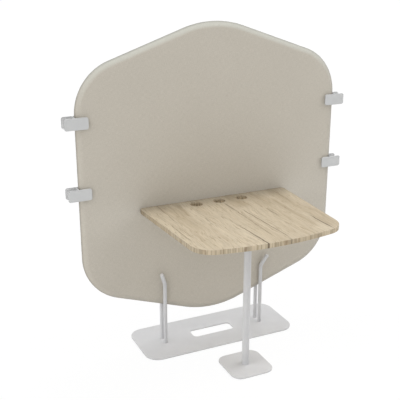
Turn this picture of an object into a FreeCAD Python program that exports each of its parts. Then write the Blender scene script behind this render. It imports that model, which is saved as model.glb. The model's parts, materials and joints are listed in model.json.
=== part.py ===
import FreeCAD, Part
import math
import os
import Sketcher
from FreeCAD import Placement, Rotation, Vector

# A desk that leans on a padded, six-sided privacy screen standing on a steel base.
# X runs along the screen, +Y points behind the screen and Z points up, in millimetres.
# The origin lies on the floor, under the middle of the whole object's box.

SIZES = {
    # Screen: a hexagon standing on a point, with round corners and a soft edge
    "screen_width": 1338,
    "screen_height": 1430,
    "screen_lift": 148,
    "screen_thickness": 28,
    "screen_side_radius": 245,
    "screen_tip_radius": 466,
    "screen_shoulder": 335,
    "screen_edge_run": 31,
    "fabric_thickness": 1.2,
    # Core of the screen: a board frame with two upright rails and acoustic infill
    "core_thickness": 12,
    "core_inset": 10,
    "core_border": 70,
    "rail_width": 84,
    "infill_gap": 0.3,
    # Base plate under the screen
    "base_width": 814,
    "base_depth": 322,
    "base_radius": 70,
    "slot_length": 227,
    "slot_width": 72,
    "slot_radius": 20,
    "plate_thickness": 7,
    "plate_edge": 1,
    # Bars that stand on the base plate and grip the screen
    "rod_spread": 537,
    "rod_diameter": 19,
    "rod_bend_rise": 178,
    "rod_tip_rise": 69,
    "rod_flare": 33,
    "rod_flare_bearing": 42,
    "rod_bend_radius": 22,
    "rod_end_round": 1.5,
    # Desktop
    "desk_height": 740,
    "desk_thickness": 22,
    "desk_depth": 633,
    "desk_back_width": 774,
    "desk_front_width": 716,
    "desk_back_radius": 20,
    "desk_front_radius": 100,
    "desk_front_bow": 1360,
    "desk_edge": 1.5,
    "cable_hole_diameter": 60,
    "cable_hole_pitch": 120,
    "cable_hole_setback": 59,
    # Leg and foot
    "leg_setback": 355,
    "leg_diameter": 34,
    "leg_wall": 2,
    "leg_plug_length": 32,
    "top_plate_diameter": 130,
    "top_plate_thickness": 5,
    "top_plate_screw_inset": 15,
    "foot_width": 214,
    "foot_radius": 48,
    # Pads under the two plates
    "pad_thickness": 1,
    "base_pad_diameter": 32,
    "base_pad_inset": 48,
    "foot_pad_diameter": 22,
    "foot_pad_inset": 34,
    # Angle brackets between the screen and the desktop
    "bracket_width": 76,
    "bracket_drop": 56,
    "bracket_reach": 64,
    "bracket_thickness": 4,
    "bracket_bolt_spacing": 40,
    "bracket_bolt_drop": 34,
    "bracket_screw_spacing": 46,
    "bracket_screw_reach": 44,
    "insert_diameter": 12,
    # Countersunk machine screws in the bars, the leg and the foot
    "machine_diameter": 8,
    "machine_head": 16,
    "machine_length": 26,
    "machine_key": 5,
    # Countersunk wood screws under the desktop
    "wood_diameter": 4.5,
    "wood_head": 9,
    "wood_length": 19,
    "wood_key": 3,
    # Socket bolts that clamp the screen between its bars, and the bracket bolts
    "bolt_diameter": 6,
    "bolt_head": 10,
    "bolt_head_height": 6,
    "bolt_key": 5,
    "clamp_drop": 40,
    "clamp_grip": 10,
    "sleeve_diameter": 12,
    "bracket_bolt_grip": 16,
    # Clips that push onto the screen's upright edges and take a second screen
    "clip_height": 54,
    "clip_depth": 54,
    "clip_inner_arm": 57,
    "clip_outer_arm": 46,
    "clip_web": 6,
    "clip_plate": 5,
    "clip_corner": 10,
    "clip_edge": 2,
    "clip_drop": 29,
    "clip_spacing": 325,
    "liner_margin": 4,
    "clip_clearance": 0.5,
    # Fits
    "contact_gap": 0.3,
    "hole_clearance": 0.15,
}

# Places that several pieces share, as expressions of the sizes above
SCREEN_Y = ("(Sizes.screen_thickness / 2 + Sizes.contact_gap + Sizes.desk_depth"
            " - Sizes.base_depth / 2) / 2")
SCREEN_FACE = f"({SCREEN_Y} - Sizes.screen_thickness / 2)"
SCREEN_Z = "(Sizes.screen_lift + Sizes.screen_height / 2)"
PLATE_TOP = "(Sizes.pad_thickness + Sizes.plate_thickness)"
ROD_X = "Sizes.rod_spread / 2"
ROD_BEND = "(Sizes.screen_lift + Sizes.rod_bend_rise)"
ROD_OFFSET = "(Sizes.screen_thickness / 2 + Sizes.contact_gap + Sizes.rod_diameter / 2)"
CLAMP_Z = f"({ROD_BEND} - Sizes.clamp_drop)"
DESK_BACK = f"({SCREEN_FACE} - Sizes.contact_gap)"
DESK_UNDERSIDE = "(Sizes.desk_height - Sizes.desk_thickness)"
LEG_Y = f"({SCREEN_Y} - Sizes.leg_setback - Sizes.screen_thickness / 2)"
LEG_TOP = f"({DESK_UNDERSIDE} - Sizes.top_plate_thickness)"
BRACKET_BOLT_Z = f"({DESK_UNDERSIDE} - Sizes.bracket_bolt_drop)"
UPPER_CLIP_Z = f"({SCREEN_Z} + Sizes.screen_shoulder - Sizes.clip_drop)"
CLIP_LEVELS = {"upper": UPPER_CLIP_Z, "lower": f"({UPPER_CLIP_Z} - Sizes.clip_spacing)"}

UPRIGHT = Rotation()
POINTING_DOWN = Rotation(Vector(1, 0, 0), 180)
POINTING_BACK = Rotation(Vector(1, 0, 0), -90)
POINTING_FRONT = Rotation(Vector(1, 0, 0), 90)
TURNED_LEFT = Rotation(Vector(0, 0, 1), 180)
UPWARDS = Vector(0, 0, 1)
BACKWARDS = Vector(0, 1, 0)
SIDES = {"left": -1, "right": 1}
ROWS = {"front": -1, "rear": 1}

doc = FreeCAD.newDocument("DeskWithScreen")
sheet = doc.addObject("Spreadsheet::Sheet", "Sizes")
for row, (alias, size) in enumerate(SIZES.items(), start=1):
    sheet.set(f"A{row}", alias)
    sheet.set(f"B{row}", str(size))
    sheet.setAlias(f"B{row}", alias)
doc.recompute()

sub_parts = []


def value(expression):
    """The present value of an expression of the sizes."""
    return float(sheet.evalExpression(expression))


def bind(thing, expressions):
    for path, expression in expressions.items():
        thing.setExpression(path, expression)


def place(thing, x="0", y="0", z="0", rotation=UPRIGHT):
    thing.Placement = Placement(Vector(), rotation)
    bind(thing, {"Placement.Base.x": x, "Placement.Base.y": y, "Placement.Base.z": z})
    return thing


def sub_part(thing, label):
    """Give a finished piece its name and add it to the pieces that are written out."""
    thing.Label = label
    sub_parts.append(thing)
    return thing


def solid(kind, name, sizes):
    thing = doc.addObject(kind, name)
    bind(thing, sizes)
    return thing


def box(name, length, width, height):
    return solid("Part::Box", name, {"Length": length, "Width": width, "Height": height})


def cylinder(name, radius, height):
    return solid("Part::Cylinder", name, {"Radius": radius, "Height": height})


def group(name, pieces):
    thing = doc.addObject("Part::Compound", name)
    thing.Links = pieces
    return thing


def cut(name, base, tools):
    thing = doc.addObject("Part::Cut", name)
    thing.Base = base
    thing.Tool = tools[0] if len(tools) == 1 else group(name + "_tools", tools)
    return thing


def common(name, base, tool):
    thing = doc.addObject("Part::Common", name)
    thing.Base = base
    thing.Tool = tool
    return thing


def fuse(name, base, tool):
    thing = doc.addObject("Part::Fuse", name)
    thing.Base = base
    thing.Tool = tool
    return thing


# Sketches

def dimension(sketch, kind, geometry, expression, name):
    """Set a distance from the sketch's origin to a centre, or a radius, from the sizes."""
    size = value(expression)
    if kind == "Radius":
        constraint = Sketcher.Constraint(kind, geometry, size)
    elif abs(size) < 1e-9:
        axis = -2 if kind == "DistanceX" else -1
        sketch.addConstraint(Sketcher.Constraint("PointOnObject", geometry, 3, axis))
        return
    elif size > 0:
        constraint = Sketcher.Constraint(kind, -1, 1, geometry, 3, size)
    else:
        constraint = Sketcher.Constraint(kind, geometry, 3, -1, 1, -size)
        expression = f"-({expression})"
    index = sketch.addConstraint(constraint)
    sketch.renameConstraint(index, name)
    sketch.setExpression(f"Constraints.{name}", expression)


def locate(sketch, geometry, x, y, radius, name):
    dimension(sketch, "DistanceX", geometry, x, name + "_x")
    dimension(sketch, "DistanceY", geometry, y, name + "_y")
    dimension(sketch, "Radius", geometry, radius, name + "_radius")


def compass(angle):
    return Vector(math.cos(angle), math.sin(angle), 0)


def straight_side(centre, radius, next_centre, next_radius):
    """The line that touches two corner circles, and its outward angle at both ends."""
    step = next_centre - centre
    angle = math.atan2(step.y, step.x) - math.acos((radius - next_radius) / step.Length)
    line = Part.LineSegment(centre + compass(angle) * radius, next_centre + compass(angle) * next_radius)
    return line, angle, angle


def bowed_side(centre, radius, next_centre, next_radius, bow):
    """The wide arc that touches two corner circles, and its outward angles at its ends."""
    step = next_centre - centre
    reach = bow - radius
    turn = math.acos((reach ** 2 + step.Length ** 2 - (bow - next_radius) ** 2)
                     / (2 * reach * step.Length))
    middle = centre + compass(math.atan2(step.y, step.x) + turn) * reach
    start, end = (math.atan2(spot.y - middle.y, spot.x - middle.x) for spot in (centre, next_centre))
    return Part.ArcOfCircle(Part.Circle(middle, Vector(0, 0, 1), bow), start, end), start, end


def rounded_loop(sketch, corners, bows=None):
    """A closed outline whose sides run tangent between round corners.

    corners lists each corner's (x, y, radius) as expressions, counter-clockwise. The side after a
    corner is straight, or bowed outwards if bows holds its radius under that corner's index.
    """
    bows = bows or {}
    circles = [(Vector(value(x), value(y), 0), value(radius)) for x, y, radius in corners]
    ends = list(zip(circles, circles[1:] + circles[:1]))
    sides = [bowed_side(*first, *second, value(bows[index])) if index in bows
             else straight_side(*first, *second) for index, (first, second) in enumerate(ends)]
    arcs = []
    edges = []
    for index, (centre, radius) in enumerate(circles):
        side, leaving, arriving = sides[index]
        corner = Part.Circle(centre, Vector(0, 0, 1), radius)
        arcs.append(sketch.addGeometry(Part.ArcOfCircle(corner, sides[index - 1][2], leaving)))
        edges.append(sketch.addGeometry(side))
    for index, arc in enumerate(arcs):
        sketch.addConstraint(Sketcher.Constraint("Tangent", edges[index - 1], 2, arc, 1))
        sketch.addConstraint(Sketcher.Constraint("Tangent", arc, 2, edges[index], 1))
    for index, (arc, (x, y, radius)) in enumerate(zip(arcs, corners)):
        locate(sketch, arc, x, y, radius, f"corner{index}")
    for index, radius in bows.items():
        dimension(sketch, "Radius", edges[index], radius, f"bow{index}")


def circle(sketch, x, y, radius, name):
    centre = Vector(value(x), value(y), 0)
    geometry = sketch.addGeometry(Part.Circle(centre, Vector(0, 0, 1), value(radius)))
    locate(sketch, geometry, x, y, radius, name)


def rectangle_corners(length, width, radius, middle="0"):
    """The four round corners of a rectangle whose middle lies at the given x."""
    across = f"({length} / 2 - {radius})"
    along = f"({width} / 2 - {radius})"
    return [(f"{middle} + {across}", along, radius), (f"{middle} - {across}", along, radius),
            (f"{middle} - {across}", f"-{along}", radius),
            (f"{middle} + {across}", f"-{along}", radius)]


def body_sketch(body, name, role):
    """A sketch on one of its own body's origin planes."""
    sketch = body.newObject("Sketcher::SketchObject", name)
    plane = next(item for item in body.Origin.OriginFeatures if item.Role == role)
    sketch.AttachmentSupport = [(plane, "")]
    sketch.MapMode = "FlatFace"
    return sketch


def pad(body, name, sketch, length):
    feature = body.newObject("PartDesign::Pad", name)
    feature.Profile = sketch
    feature.setExpression("Length", length)
    doc.recompute()


def through_pocket(body, name, sketch, depth):
    """A pocket that cuts upwards from the sketch, with a check that it removes material."""
    before = body.Shape.Volume
    feature = body.newObject("PartDesign::Pocket", name)
    feature.Profile = sketch
    feature.Reversed = True
    feature.setExpression("Length", depth)
    doc.recompute()
    if not body.Shape.Volume < before:
        raise RuntimeError(f"{name} cut nothing")


def end_faces(body, direction):
    """The names of the flat faces at both ends of a body along a direction."""
    names = []
    for index, face in enumerate(body.Tip.Shape.Faces, start=1):
        flat = isinstance(face.Surface, Part.Plane)
        if flat and abs(abs(face.normalAt(0, 0) * direction) - 1) < 1e-6:
            names.append(f"Face{index}")
    return names


def round_rims(body, name, faces, radius):
    """Round the rims of some faces of a body's last feature."""
    last = body.Tip
    fillet = body.newObject("PartDesign::Fillet", name)
    fillet.Base = (last, faces)
    fillet.setExpression("Radius", radius)
    doc.recompute()


# Fasteners, each made with its head at the origin and its shank along +Z

def countersunk_form(name, kind, clearance="0"):
    """A flat head with a right-angled cone and a plain shank, with room around it."""
    shank_radius = f"Sizes.{kind}_diameter / 2 + {clearance}"
    head = solid("Part::Cone", name + "_head", {
        "Radius1": f"Sizes.{kind}_head / 2 + {clearance}",
        "Radius2": shank_radius,
        "Height": f"(Sizes.{kind}_head - Sizes.{kind}_diameter) / 2",
    })
    shank = cylinder(name + "_shank", shank_radius, f"Sizes.{kind}_length + {clearance}")
    return fuse(name + "_form", head, shank)


def socket_form(name, length, clearance="0"):
    """A cylinder head below the origin and a plain shank above it, with room around them."""
    head = cylinder(name + "_head", f"Sizes.bolt_head / 2 + {clearance}",
                    "Sizes.bolt_head_height")
    place(head, z="-Sizes.bolt_head_height")
    shank = cylinder(name + "_shank", f"Sizes.bolt_diameter / 2 + {clearance}",
                     f"{length} + {clearance}")
    return fuse(name + "_form", head, shank)


def key_recess(name, width, depth):
    """The hexagon in a screw's head, across its flats."""
    recess = solid("Part::Prism", name + "_recess", {
        "Circumradius": f"{width} / sqrt(3)",
        "Height": depth,
    })
    recess.Polygon = 6
    return recess


def countersunk_screw(name, kind, x, y, z, rotation=UPRIGHT):
    """A countersunk screw and the hole that it needs, both in place."""
    depth = f"(Sizes.{kind}_head - Sizes.{kind}_diameter) / 2"
    recess = key_recess(name, f"Sizes.{kind}_key", depth)
    screw = cut(name, countersunk_form(name, kind), [recess])
    hole = countersunk_form(name + "_hole", kind, "Sizes.hole_clearance")
    return place(screw, x, y, z, rotation), place(hole, x, y, z, rotation)


def socket_bolt(name, length, x, y, z, rotation):
    """A socket-head bolt and the hole that it needs, both in place."""
    recess = key_recess(name, "Sizes.bolt_key", "Sizes.bolt_head_height / 2")
    place(recess, z="-Sizes.bolt_head_height")
    bolt = cut(name, socket_form(name, length), [recess])
    hole = socket_form(name + "_hole", length, "Sizes.hole_clearance")
    return place(bolt, x, y, z, rotation), place(hole, x, y, z, rotation)


# Screen

def screen_corners(inset):
    """The screen's outline about its middle, drawn in from its edge by an inset."""
    side_x = "(Sizes.screen_width / 2 - Sizes.screen_side_radius)"
    side_radius = f"Sizes.screen_side_radius - {inset}"
    tip_z = "(Sizes.screen_height / 2 - Sizes.screen_tip_radius)"
    tip_radius = f"Sizes.screen_tip_radius - {inset}"
    shoulder = "Sizes.screen_shoulder"
    return [(side_x, shoulder, side_radius), ("0", tip_z, tip_radius),
            (f"-{side_x}", shoulder, side_radius), (f"-{side_x}", f"-{shoulder}", side_radius),
            ("0", f"-{tip_z}", tip_radius), (side_x, f"-{shoulder}", side_radius)]


def screen_section(name, inset, reach):
    """The screen's outline as a sketch, standing at a reach behind the screen's middle."""
    sketch = doc.addObject("Sketcher::SketchObject", name)
    rounded_loop(sketch, screen_corners(inset))
    return place(sketch, y=f"{SCREEN_Y} + {reach}", z=SCREEN_Z, rotation=POINTING_FRONT)


def padded_half(name, direction, margin):
    """Half of the padded screen: its edge swells from the middle plane to the flat face."""
    sections = []
    for angle in (0, 30, 60, 90):
        inset = f"({margin} + Sizes.screen_edge_run * (1 - cos({angle} deg)))"
        reach = f"{direction} * (Sizes.screen_thickness / 2 - {margin}) * sin({angle} deg)"
        sections.append(screen_section(f"{name}_section_{angle}", inset, reach))
    half = doc.addObject("Part::Loft", name)
    half.Sections = sections
    half.Solid = True
    half.Ruled = True
    return half


def core_slab(name, inset):
    """A slab of the core's thickness, standing on both sides of the screen's middle."""
    slab = doc.addObject("Part::Extrusion", name)
    slab.Base = screen_section(name + "_outline", inset, "Sizes.core_thickness / 2")
    slab.DirMode = "Normal"
    slab.setExpression("LengthFwd", "Sizes.core_thickness")
    slab.Solid = True
    return slab


def upright_strip(name, left, right):
    """A tall box through the core, from one x to another."""
    strip = box(name, f"{right} - ({left})", "2 * Sizes.core_thickness", "Sizes.screen_height")
    return place(strip, left, f"{SCREEN_Y} - Sizes.core_thickness", "Sizes.screen_lift")


def across_screen(name, x, z, radius, start, end):
    """A round bar through the screen along Y, between two distances from its middle."""
    bar = cylinder(name, radius, f"{end} - ({start})")
    return place(bar, x, f"{SCREEN_Y} + {start}", z, POINTING_BACK)


def tube_across(name, x, z, diameter, start, end):
    """A sleeve along Y with a bore for a bolt, and the plain hole that it sits in."""
    outer = across_screen(name + "_outer", x, z, f"Sizes.{diameter} / 2", start, end)
    bore = across_screen(name + "_bore", x, z, "Sizes.bolt_diameter / 2 + Sizes.hole_clearance",
                         start, end)
    seat = across_screen(name + "_seat", x, z, f"Sizes.{diameter} / 2 + Sizes.hole_clearance",
                         start, end)
    return cut(name, outer, [bore]), seat


half_screen = "Sizes.screen_thickness / 2"
clamp_sleeves = []
screen_seats = []
for side, sign in SIDES.items():
    sleeve, seat = tube_across(f"clamp_sleeve_{side}", f"{sign} * {ROD_X}", CLAMP_Z,
                               "sleeve_diameter", f"-{half_screen}", half_screen)
    clamp_sleeves.append(sleeve)
    screen_seats.append(seat)

bracket_inserts = []
for side, sign in SIDES.items():
    for place_name, step in (("inner", -1), ("outer", 1)):
        x = f"{sign} * ({ROD_X} + {step} * Sizes.bracket_bolt_spacing / 2)"
        insert, seat = tube_across(f"bracket_insert_{side}_{place_name}", x, BRACKET_BOLT_Z,
                                   "insert_diameter", f"-{half_screen}", "Sizes.core_thickness / 2")
        bracket_inserts.append(insert)
        screen_seats.append(seat)

sub_part(group("clamp_sleeve_group", clamp_sleeves), "clamp_sleeves")
sub_part(group("bracket_insert_group", bracket_inserts), "bracket_inserts")

core_board = core_slab("core_board", "Sizes.core_inset")
core_window = core_slab("core_window", "(Sizes.core_inset + Sizes.core_border)")
rail_edges = {side: (f"{sign} * {ROD_X} - Sizes.rail_width / 2",
                     f"{sign} * {ROD_X} + Sizes.rail_width / 2") for side, sign in SIDES.items()}
rails = [upright_strip(f"rail_{side}", *edges) for side, edges in rail_edges.items()]
windows = cut("core_windows", core_window, rails)
framed_board = cut("framed_board", core_board, [windows])
sub_part(cut("screen_frame_shape", framed_board, screen_seats), "screen_frame")

infill_outline = core_slab("infill_outline",
                           "(Sizes.core_inset + Sizes.core_border + Sizes.infill_gap)")
outer_x = "Sizes.screen_width / 2"
infill_spans = {
    "left": (f"-{outer_x}", f"{rail_edges['left'][0]} - Sizes.infill_gap"),
    "middle": (f"{rail_edges['left'][1]} + Sizes.infill_gap",
               f"{rail_edges['right'][0]} - Sizes.infill_gap"),
    "right": (f"{rail_edges['right'][1]} + Sizes.infill_gap", outer_x),
}
for span, (left, right) in infill_spans.items():
    strip = upright_strip(f"infill_strip_{span}", left, right)
    sub_part(common(f"infill_shape_{span}", infill_outline, strip), f"infill_{span}")

for half, direction in ROWS.items():
    outer_form = padded_half(f"{half}_outer_form", direction, "0")
    inner_form = padded_half(f"{half}_inner_form", direction, "Sizes.fabric_thickness")
    foam = cut(f"{half}_foam_shape", inner_form, [core_board] + screen_seats)
    cover = cut(f"{half}_cover_shape", outer_form, [inner_form] + screen_seats)
    sub_part(foam, f"{half}_foam")
    sub_part(cover, f"{half}_cover")


# Base plate, its screws and its pads

def steel_plate(name, corners):
    """A flat plate with round corners, lying on its underside."""
    body = doc.addObject("PartDesign::Body", name)
    sketch = body_sketch(body, name + "_outline", "XY_Plane")
    rounded_loop(sketch, corners)
    pad(body, name + "_pad", sketch, "Sizes.plate_thickness")
    return body


def corner_pads(name, length, width, inset, diameter, y):
    """Four round pads under the corners of a plate."""
    pads = []
    for side, sign in SIDES.items():
        for row, way in ROWS.items():
            disc = cylinder(f"{name}_{row}_{side}", f"Sizes.{diameter} / 2", "Sizes.pad_thickness")
            place(disc, f"{sign} * (Sizes.{length} / 2 - Sizes.{inset})",
                  f"{y} + {way} * (Sizes.{width} / 2 - Sizes.{inset})")
            pads.append(disc)
    return group(name, pads)


base_body = steel_plate("base_blank", rectangle_corners(
    "Sizes.base_width", "Sizes.base_depth", "Sizes.base_radius"))
slot_sketch = body_sketch(base_body, "base_slot_outline", "XY_Plane")
rounded_loop(slot_sketch, rectangle_corners(
    "Sizes.slot_length", "Sizes.slot_width", "Sizes.slot_radius"))
through_pocket(base_body, "base_slot", slot_sketch, "Sizes.plate_thickness")
round_rims(base_body, "base_edge", end_faces(base_body, UPWARDS), "Sizes.plate_edge")
place(base_body, y=SCREEN_Y, z="Sizes.pad_thickness")

rod_places = [(row, side) for row in ROWS for side in SIDES]

rod_screws = []
rod_screw_holes = {}
for row, side in rod_places:
    screw, hole = countersunk_screw(
        f"rod_screw_{row}_{side}", "machine", f"{SIDES[side]} * {ROD_X}",
        f"{SCREEN_Y} + {ROWS[row]} * {ROD_OFFSET}", "Sizes.pad_thickness")
    rod_screws.append(screw)
    rod_screw_holes[row, side] = hole
sub_part(cut("base_plate_shape", base_body, list(rod_screw_holes.values())), "base_plate")
sub_part(group("rod_screw_group", rod_screws), "rod_screws")
sub_part(corner_pads("base_pad_group", "base_width", "base_depth", "base_pad_inset",
                     "base_pad_diameter", SCREEN_Y), "base_pads")

# Clamp bolts: each head sinks into a rear bar, and its shank ends inside the front bar

clamp_bolts = []
clamp_holes = {}
head_seat = f"({ROD_OFFSET} + Sizes.rod_diameter / 2 - Sizes.bolt_head_height)"
shank = f"({head_seat} + {half_screen} + Sizes.contact_gap + Sizes.clamp_grip)"
for side, sign in SIDES.items():
    bolt, hole = socket_bolt(f"clamp_bolt_{side}", shank, f"{sign} * {ROD_X}",
                             f"{SCREEN_Y} + {head_seat}", CLAMP_Z, POINTING_FRONT)
    clamp_bolts.append(bolt)
    clamp_holes[side] = hole
sub_part(group("clamp_bolt_group", clamp_bolts), "clamp_bolts")


# Bars with a tip that flares out, to lead the screen in between them

def bent_bar(name, bearing):
    """A round bar, upright and then bent towards a compass bearing from +X."""
    body = doc.addObject("PartDesign::Body", name)
    path = body_sketch(body, name + "_path", "XZ_Plane")
    bend_height = f"({ROD_BEND} - {PLATE_TOP})"
    tip_height = f"({bend_height} + Sizes.rod_tip_rise)"
    bend = value(bend_height)
    tip = Vector(value("Sizes.rod_flare"), value(tip_height), 0)
    radius = value("Sizes.rod_bend_radius")
    centre = Vector(radius, bend, 0)
    to_tip = tip - centre
    turn = math.pi - math.atan2(to_tip.y, to_tip.x) - math.acos(radius / to_tip.Length)
    bend_end = centre + Vector(-math.cos(turn), math.sin(turn), 0) * radius
    upright = path.addGeometry(Part.LineSegment(Vector(), Vector(0, bend, 0)))
    bend_circle = Part.Circle(centre, Vector(0, 0, 1), radius)
    arc = path.addGeometry(Part.ArcOfCircle(bend_circle, math.pi - turn, math.pi))
    flare = path.addGeometry(Part.LineSegment(bend_end, tip))
    path.addConstraint(Sketcher.Constraint("Coincident", upright, 1, -1, 1))
    path.addConstraint(Sketcher.Constraint("Vertical", upright))
    path.addConstraint(Sketcher.Constraint("Tangent", upright, 2, arc, 2))
    path.addConstraint(Sketcher.Constraint("Tangent", arc, 1, flare, 1))
    dimension(path, "Radius", arc, "Sizes.rod_bend_radius", "bend_radius")
    for kind, geometry, size, label in (
            ("DistanceY", upright, bend_height, "bend_height"),
            ("DistanceX", flare, "Sizes.rod_flare", "flare"),
            ("DistanceY", flare, tip_height, "tip_height")):
        index = path.addConstraint(Sketcher.Constraint(kind, -1, 1, geometry, 2, value(size)))
        path.renameConstraint(index, label)
        path.setExpression(f"Constraints.{label}", size)
    section = body_sketch(body, name + "_section", "XY_Plane")
    circle(section, "0", "0", "Sizes.rod_diameter / 2", "bar")
    pipe = body.newObject("PartDesign::AdditivePipe", name + "_pipe")
    pipe.Profile = section
    pipe.Spine = path
    doc.recompute()
    ends = [(face.CenterOfMass.z, index) for index, face in enumerate(pipe.Shape.Faces, start=1)
            if isinstance(face.Surface, Part.Plane)]
    round_rims(body, name + "_end", [f"Face{max(ends)[1]}"], "Sizes.rod_end_round")
    body.Placement = Placement(Vector(), Rotation(Vector(0, 0, 1), 0))
    body.setExpression("Placement.Rotation.Angle", bearing)
    return body


for row, side in rod_places:
    lean = "Sizes.rod_flare_bearing" if side == "right" else "(180 - Sizes.rod_flare_bearing)"
    turned = lean if row == "rear" else f"(360 - {lean})"
    bar = bent_bar(f"rod_bar_{row}_{side}", f"{turned} * 1 deg")
    bind(bar, {"Placement.Base.x": f"{SIDES[side]} * {ROD_X}",
               "Placement.Base.y": f"{SCREEN_Y} + {ROWS[row]} * {ROD_OFFSET}",
               "Placement.Base.z": PLATE_TOP})
    holes = [rod_screw_holes[row, side], clamp_holes[side]]
    sub_part(cut(f"rod_shape_{row}_{side}", bar, holes), f"rod_{row}_{side}")

# Desktop, its brackets and their fasteners

desk_body = doc.addObject("PartDesign::Body", "desk_blank")
desk_sketch = body_sketch(desk_body, "desk_outline", "XY_Plane")
back_x = "(Sizes.desk_back_width / 2 - Sizes.desk_back_radius)"
front_x = "(Sizes.desk_front_width / 2 - Sizes.desk_front_radius)"
back_y = "-Sizes.desk_back_radius"
bow_reach = "(Sizes.desk_front_bow - Sizes.desk_front_radius)"
front_y = f"(Sizes.desk_front_bow - Sizes.desk_depth - sqrt({bow_reach} ^ 2 - {front_x} ^ 2))"
FRONT_SIDE = 2
rounded_loop(desk_sketch, [
    (back_x, back_y, "Sizes.desk_back_radius"), (f"-{back_x}", back_y, "Sizes.desk_back_radius"),
    (f"-{front_x}", front_y, "Sizes.desk_front_radius"),
    (front_x, front_y, "Sizes.desk_front_radius")], {FRONT_SIDE: "Sizes.desk_front_bow"})
pad(desk_body, "desk_pad", desk_sketch, "Sizes.desk_thickness")
round_rims(desk_body, "desk_edge_round", end_faces(desk_body, UPWARDS), "Sizes.desk_edge")
hole_sketch = body_sketch(desk_body, "cable_hole_outline", "XY_Plane")
for index in (-1, 0, 1):
    circle(hole_sketch, f"{index} * Sizes.cable_hole_pitch", "-Sizes.cable_hole_setback",
           "Sizes.cable_hole_diameter / 2", f"hole{index + 1}")
through_pocket(desk_body, "cable_holes", hole_sketch, "Sizes.desk_thickness")
place(desk_body, y=DESK_BACK, z=DESK_UNDERSIDE)

bracket_bolts = []
bracket_screws = []
desk_holes = []
bracket_face = f"({DESK_BACK} - Sizes.bracket_thickness)"
for side, sign in SIDES.items():
    middle = f"{sign} * {ROD_X}"
    upright_leg = box(f"bracket_upright_{side}", "Sizes.bracket_width", "Sizes.bracket_thickness",
                      "Sizes.bracket_drop")
    place(upright_leg, f"{middle} - Sizes.bracket_width / 2", bracket_face,
          f"{DESK_UNDERSIDE} - Sizes.bracket_drop")
    level_leg = box(f"bracket_level_{side}", "Sizes.bracket_width", "Sizes.bracket_reach",
                    "Sizes.bracket_thickness")
    place(level_leg, f"{middle} - Sizes.bracket_width / 2", f"{DESK_BACK} - Sizes.bracket_reach",
          f"{DESK_UNDERSIDE} - Sizes.bracket_thickness")
    angle = fuse(f"bracket_angle_{side}", upright_leg, level_leg)
    holes = []
    for place_name, step in (("inner", -1), ("outer", 1)):
        bolt_x = f"{sign} * ({ROD_X} + {step} * Sizes.bracket_bolt_spacing / 2)"
        bolt, bolt_hole = socket_bolt(f"bracket_bolt_{side}_{place_name}", "Sizes.bracket_bolt_grip",
                                      bolt_x, bracket_face, BRACKET_BOLT_Z, POINTING_BACK)
        bracket_bolts.append(bolt)
        screw_x = f"{sign} * ({ROD_X} + {step} * Sizes.bracket_screw_spacing / 2)"
        screw, screw_hole = countersunk_screw(
            f"bracket_screw_{side}_{place_name}", "wood", screw_x,
            f"{DESK_BACK} - Sizes.bracket_screw_reach",
            f"{DESK_UNDERSIDE} - Sizes.bracket_thickness")
        bracket_screws.append(screw)
        desk_holes.append(screw_hole)
        holes += [bolt_hole, screw_hole]
    sub_part(cut(f"bracket_shape_{side}", angle, holes), f"desk_bracket_{side}")
sub_part(group("bracket_bolt_group", bracket_bolts), "bracket_bolts")
sub_part(group("bracket_screw_group", bracket_screws), "bracket_screws")

# Leg: a tube with a threaded plug in each end, between a top plate and the foot

plate_screws = []
plate_holes = []
screw_circle = "(Sizes.top_plate_diameter / 2 - Sizes.top_plate_screw_inset)"
for index in range(4):
    bearing = f"({45 + 90 * index} deg)"
    screw, hole = countersunk_screw(
        f"leg_plate_screw_{index}", "wood",
        f"{screw_circle} * cos({bearing})", f"{LEG_Y} + {screw_circle} * sin({bearing})", LEG_TOP)
    plate_screws.append(screw)
    plate_holes.append(hole)
sub_part(cut("desktop_shape", desk_body, desk_holes + plate_holes), "desktop")
sub_part(group("leg_plate_screw_group", plate_screws), "leg_plate_screws")

top_screw, top_hole = countersunk_screw("leg_top_screw_shape", "machine", "0", LEG_Y,
                                        DESK_UNDERSIDE, POINTING_DOWN)
foot_screw, foot_hole = countersunk_screw("foot_screw_shape", "machine", "0", LEG_Y,
                                          "Sizes.pad_thickness")
sub_part(top_screw, "leg_top_screw")
sub_part(foot_screw, "foot_screw")

top_disc = cylinder("leg_top_disc", "Sizes.top_plate_diameter / 2", "Sizes.top_plate_thickness")
place(top_disc, y=LEG_Y, z=LEG_TOP)
sub_part(cut("leg_top_plate_shape", top_disc, plate_holes + [top_hole]), "leg_top_plate")

leg_length = f"({LEG_TOP} - {PLATE_TOP})"
bore_radius = "(Sizes.leg_diameter / 2 - Sizes.leg_wall)"
leg_outer = place(cylinder("leg_outer", "Sizes.leg_diameter / 2", leg_length),
                  y=LEG_Y, z=PLATE_TOP)
leg_bore = place(cylinder("leg_bore", bore_radius, leg_length), y=LEG_Y, z=PLATE_TOP)
sub_part(cut("leg_tube_shape", leg_outer, [leg_bore]), "leg_tube")
for end, z, hole in (("top", f"{LEG_TOP} - Sizes.leg_plug_length", top_hole),
                     ("bottom", PLATE_TOP, foot_hole)):
    blank = cylinder(f"leg_plug_blank_{end}", f"{bore_radius} - Sizes.hole_clearance",
                     "Sizes.leg_plug_length")
    place(blank, y=LEG_Y, z=z)
    sub_part(cut(f"leg_plug_shape_{end}", blank, [hole]), f"leg_{end}_plug")

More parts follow.
